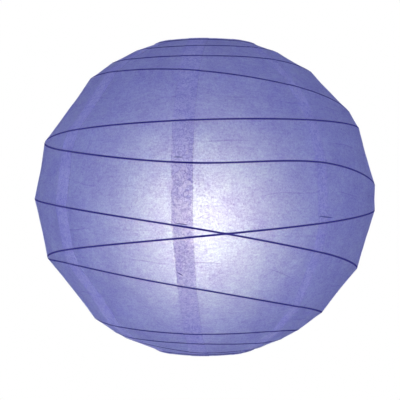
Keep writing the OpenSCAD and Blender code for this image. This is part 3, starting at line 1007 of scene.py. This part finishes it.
def paper_finish(name):
    finish, tree, out = new_finish(name)
    place = stored(tree, "place", "Vector")
    double = switch(tree, "double")
    tone, curls = paper_tone(tree, place, double)
    unshaded = unshaded_share(tree, place)
    # clear: 0 on the wire's painted shadow and the tucks' painted shade, and lower on curly
    # fibres.
    clear = times(tree, unshaded, spread(tree, curls, target=(1.0, CURL_CLEAR)))
    bump = add(tree, "Bump", {"Height": tone, "Strength": 0.35, "Distance": 0.12 * MM})
    normal = bump.outputs["Normal"]
    # Painted shadow and shade: the wire's line and the tucks darken the lit face and the scattered
    # light.
    face, scatter = (
        add(tree, kind, {"Color": ramp(tree, unshaded, PAINTED_SHADE_AND_CURL_COLOUR, ramp(tree, tone, *colours)),
                         "Normal": normal}).outputs[0]
        for kind, colours in (("BsdfDiffuse", PAPER_FACE), ("BsdfTranslucent", PAPER_THROUGH)))
    onward = onward_light(tree, tone, normal, double, clear)
    onward_share = spread(tree, double, target=(ONWARD_SHARE, DOUBLE_ONWARD))
    through = add(tree, "MixShader", {0: onward_share, 1: scatter, 2: onward})
    share = times(tree, spread(tree, double, target=(THROUGH_SHARE, DOUBLE_THROUGH)),
                  spread(tree, unshaded, target=(WIRE_SHADOW_THROUGH, 1.0)))
    paper = add(tree, "MixShader", {0: share, 1: face, 2: through.outputs[0]})
    paste = add(tree, "BsdfRefraction", {"Color": WHITE, "Roughness": 0.2, "IOR": 1.0})
    sheet = add(tree, "MixShader", {0: switch(tree, "pasted"), 1: paper.outputs[0],
                                    2: paste.outputs[0]})
    tree.links.new(sheet.outputs[0], out.inputs["Surface"])
    return finish


blue_paper = paper_finish("blue_tissue_paper")
for sheet in gores + hems:
    sheet.data.materials.append(blue_paper)
print("paper finish:", len(blue_paper.node_tree.nodes), "nodes on", len(gores + hems), "sheets")

# %% [markdown]
# ## What the paper and the rib ride on
# The lower rim slides up the frame and the globe folds flat under the top rim. Here the gores and
# the rib ride on the lantern's body, each with a mesh of its own, the top hem strip on the
# lantern's body too and the bottom one on the lower rim. Each stands for its CAD node from here
# on, and that node is hidden.


def folds(obj, *nodes):
    """A soft piece of the globe: it rides on the lantern's body, and its CAD nodes are hidden."""
    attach(obj, "lantern")
    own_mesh(obj)
    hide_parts(*nodes)


for number, gore in enumerate(gores, start=1):
    folds(gore, f"paper_gore_{number}")
folds(rib, "rib_wire")
for strip, node, body in zip(hems, ("top_hem", "bottom_hem"), ("lantern", "lower_rim")):
    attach(strip, body)
    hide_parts(node)

# %% [markdown]
# The width of the leaf that each gore was cut from: its widest row, measured round the globe.


for gore, (left_edge, right_edge) in zip(gores, edges.values()):
    width = float(np.linalg.norm(right_edge - left_edge, axis=1).max())
    width = 2 * GLOBE_R * math.asin(width / 2 / GLOBE_R)

# %% [markdown]
# ## Metal, moulding and glass
# The rest of the lantern keeps its CAD shapes and gets real finishes. Nothing is one flat colour:
# galvanised wire is mottled and drawn lengthwise, a moulding has a faint grain and picks up dust,
# brass tarnishes unevenly. One function makes them all from two colours, two roughnesses and the
# size of the pattern.

# %% Finishes for the hardware
def hard_finish(name, colours, roughness, scale, metal=0.0, bump=0.0, stretch=(1, 1, 1), **more):
    finish, tree, out = new_finish(name)
    place = add(tree, "TexCoord").outputs["Object"]
    place = add(tree, "Mapping", {"Vector": place, "Scale": stretch}).outputs["Vector"]
    mottle = add(tree, "TexNoise", {"Vector": place, "Scale": scale, "Detail": 4.0,
                                    "Roughness": 0.6}).outputs["Fac"]
    speck = add(tree, "TexNoise", {"Vector": place, "Scale": scale * 6, "Detail": 2.0})
    tone = weighed(tree, [(mottle, 1.3), (speck.outputs["Fac"], 0.7)], start=-0.5)
    normal = add(tree, "Bump", {"Height": tone, "Strength": bump, "Distance": 0.0002})
    skin = add(tree, "BsdfPrincipled", {"Base Color": ramp(tree, tone, *colours),
                                        "Roughness": spread(tree, tone, target=roughness),
                                        "Normal": normal.outputs[0], "Metallic": metal, **more})
    tree.links.new(skin.outputs[0], out.inputs["Surface"])
    return finish


LAMP_LIGHT = 29.5
LOOKS = {
    "galvanised_wire": (((0.30, 0.31, 0.33), (0.56, 0.57, 0.60)), (0.26, 0.48), 420.0,
                        dict(metal=1.0, bump=0.25, stretch=(1, 1, 0.3))),
    "white_moulding": (((0.78, 0.77, 0.73), (0.86, 0.855, 0.83)), (0.30, 0.44), 160.0,
                       {"bump": 0.12, "Specular IOR Level": 0.45}),
    "contact_brass": (((0.50, 0.33, 0.11), (0.78, 0.58, 0.25)), (0.22, 0.44), 240.0,
                      dict(metal=1.0, bump=0.10)),
    "plated_cap": (((0.52, 0.52, 0.51), (0.72, 0.72, 0.71)), (0.20, 0.36), 300.0,
                   dict(metal=1.0, bump=0.10)),
    "black_glass": (((0.006, 0.006, 0.008), (0.02, 0.02, 0.025)), (0.08, 0.2), 260.0,
                    dict(bump=0.05)),
    "board_aluminium": (((0.60, 0.61, 0.62), (0.80, 0.81, 0.82)), (0.28, 0.42), 350.0,
                        dict(metal=1.0, bump=0.10, stretch=(1, 6, 1))),
    "opal_globe": (((0.84, 0.84, 0.82), (0.90, 0.90, 0.88)), (0.34, 0.46), 120.0,
                   {"bump": 0.05, "Emission Strength": LAMP_LIGHT}),
}
FINISHES = {name: hard_finish(name, *look, **more) for name, (*look, more) in LOOKS.items()}
print("finishes:", list(FINISHES))

# %% [markdown]
# The bulb's globe glows. The photograph's glow lies a little left of the middle, so the globe is
# dimmer on its right: its Emission Color runs between two colours across it.

# %% The glowing globe
LAMP_COLOUR = (0.98, 0.97, 0.60)
LAMP_REACH = 30 * MM
DIM_SIDE = 0.5


bulb_tree = FINISHES["opal_globe"].node_tree
skin = next(node for node in bulb_tree.nodes if node.bl_idname == "ShaderNodeBsdfPrincipled")
in_globe = add(bulb_tree, "TexCoord").outputs["Object"]
across_globe = add(bulb_tree, "SeparateXYZ", {0: in_globe}).outputs["X"]
right_share = spread(bulb_tree, across_globe, (-LAMP_REACH, LAMP_REACH))
glow = ramp(bulb_tree, right_share, LAMP_COLOUR, [DIM_SIDE * part for part in LAMP_COLOUR])
bulb_tree.links.new(glow, skin.inputs["Emission Color"])
print("the globe's right side glows at", DIM_SIDE, "of its left")

# %% [markdown]
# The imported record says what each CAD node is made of, and that is the finish it gets, in all of
# its material slots. The nodes that new pieces stand for are left out.

# %% Put the finishes on
def finish_with(obj, slot):
    """Puts a finish in every material slot of an object."""
    if not obj.data.materials:
        obj.data.materials.append(FINISHES[slot])
    for place in obj.material_slots:
        place.material = FINISHES[slot]


finish_with(rib, "galvanised_wire")
finished = [part for part in frame["record"]["subparts"]
            if part["material_slot"] in FINISHES and part["node"] != "rib_wire"]
for part in finished:
    finish_with(frame["nodes"][part["node"]], part["material_slot"])
print("finished", len(finished), "CAD nodes")

# %% [markdown]
# ## Welds
# The frame's wires are resistance-welded where they butt on the legs, which leaves a small
# flattened bead round each joint. Metaballs could melt beads and wires into one, but the wires
# are pieces of their own. A sphere pressed flat and roughened is enough at this size.

# %% Weld beads
def fresh(name):
    """Names the object that an operator has just added, and puts its place in its mesh."""
    bpy.ops.object.transform_apply(location=True, rotation=True, scale=True)
    bpy.context.object.name = name
    bpy.context.object.data.name = name
    return bpy.context.object


def corner(node, end, axis):
    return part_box(node)[end][axis]


BEAD_R = 1.35 * RING_WIRE_R
BEAD_X = corner("leg_right", 0, 0) - 0.15 * RING_WIRE_R
BEAD_SHAPE = (0.62, 1.0, 1.08)
BEAD_ROUGH = 0.10
joint_heights = {
    "loop": corner("hanging_loop", 0, 2) + RING_WIRE_R,
    "carrier": (corner("lamp_carrier", 0, 2) + corner("lamp_carrier", 1, 2)) / 2,
}
beads = []
for joint, height in joint_heights.items():
    for side in (-1, 1):
        middle = Vector((side * BEAD_X, 0, height))
        bpy.ops.object.select_all(action="DESELECT")
        bpy.ops.mesh.primitive_uv_sphere_add(segments=28, ring_count=16, radius=BEAD_R,
                                             location=middle)
        bpy.context.object.scale = BEAD_SHAPE
        bead = fresh(f"weld_{joint}_{'left' if side < 0 else 'right'}")
        for vertex in bead.data.vertices:
            rough = noise.noise(vertex.co * 900)
            vertex.co += (vertex.co - middle) * BEAD_ROUGH * rough
        bpy.ops.object.shade_smooth()
        finish_with(bead, "galvanised_wire")
        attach(bead, "lantern")
        beads.append(bead)
print("weld beads:", len(beads))

# %% [markdown]
# ## Terminal screws
# The contact block's wells hold two slotted brass screws. A boolean could cut the slot, but it
# leaves untidy faces. Here a screw is a disc whose top is cut in strips, so that the middle one
# can be pushed down for the slot, and then its edges are bevelled.

# %% Terminal screws
SCREW_R = 1.95 * MM
SCREW_T = 1.5 * MM
WELL_X = 9 * MM
WELL_DEPTH = 4 * MM
SLOT_HALF = 0.3 * MM
SLOT_DEPTH = 0.7 * MM
SCREW_BEVEL = 0.12 * MM
SCREW_CLEAR = 0.02 * MM
SCREW_EDGE = math.radians(35)
block_top = corner("contact_block", 1, 2)


def terminal_screw(name, x):
    bpy.ops.object.select_all(action="DESELECT")
    top = block_top - WELL_DEPTH + SCREW_T + SCREW_CLEAR
    bpy.ops.mesh.primitive_cylinder_add(vertices=48, radius=SCREW_R, depth=SCREW_T,
                                        location=(x, 0, top - SCREW_T / 2))
    screw = fresh(name)
    bpy.ops.object.mode_set(mode="EDIT")
    for y in (-SLOT_HALF, SLOT_HALF):
        bpy.ops.mesh.select_all(action="SELECT")
        bpy.ops.mesh.bisect(plane_co=(x, y, top), plane_no=(0, 1, 0))
    bpy.ops.mesh.select_all(action="DESELECT")
    bpy.ops.object.mode_set(mode="OBJECT")
    for face in screw.data.polygons:
        face.select = face.normal.z > 0.9 and abs(face.center.y) < SLOT_HALF
    bpy.ops.object.mode_set(mode="EDIT")
    bpy.ops.mesh.select_mode(type="FACE")
    bpy.ops.mesh.extrude_region_move(TRANSFORM_OT_translate={"value": (0, 0, -SLOT_DEPTH)})
    bpy.ops.object.mode_set(mode="OBJECT")
    rim = screw.modifiers.new("rim", "BEVEL")
    rim.width = SCREW_BEVEL
    rim.segments = 2
    rim.limit_method = "ANGLE"
    bpy.ops.object.modifier_apply(modifier="rim")
    bpy.ops.object.shade_smooth_by_angle(angle=SCREW_EDGE)
    finish_with(screw, "contact_brass")
    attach(screw, "lantern")
    return screw


screws = [terminal_screw("terminal_screw_left", -WELL_X),
          terminal_screw("terminal_screw_right", WELL_X)]
print("terminal screws:", len(screws), "of", len(screws[0].data.polygons), "faces")

# %% [markdown]
# ## Where the laps show
# Last, for each lap in view, the pixels where its two edges show are found at the height of its
# image point.


for seam, name in SEEN_SEAMS.items():
    left_edge = pixels_of(edges[seam % GORES][0])
    right_edge = pixels_of(edges[(seam - 1) % GORES][1])
    y = image_points[name][1]
    middle = [edge[np.argmin(np.abs(edge[:, 1] - y)), 0] for edge in (left_edge, right_edge)]

# %% [markdown]

# %% [markdown]
# The Standard view keeps colours as they are written.

# %% Settings and finish
bpy.context.scene.view_settings.view_transform = "Standard"
print("view transform", bpy.context.scene.view_settings.view_transform)
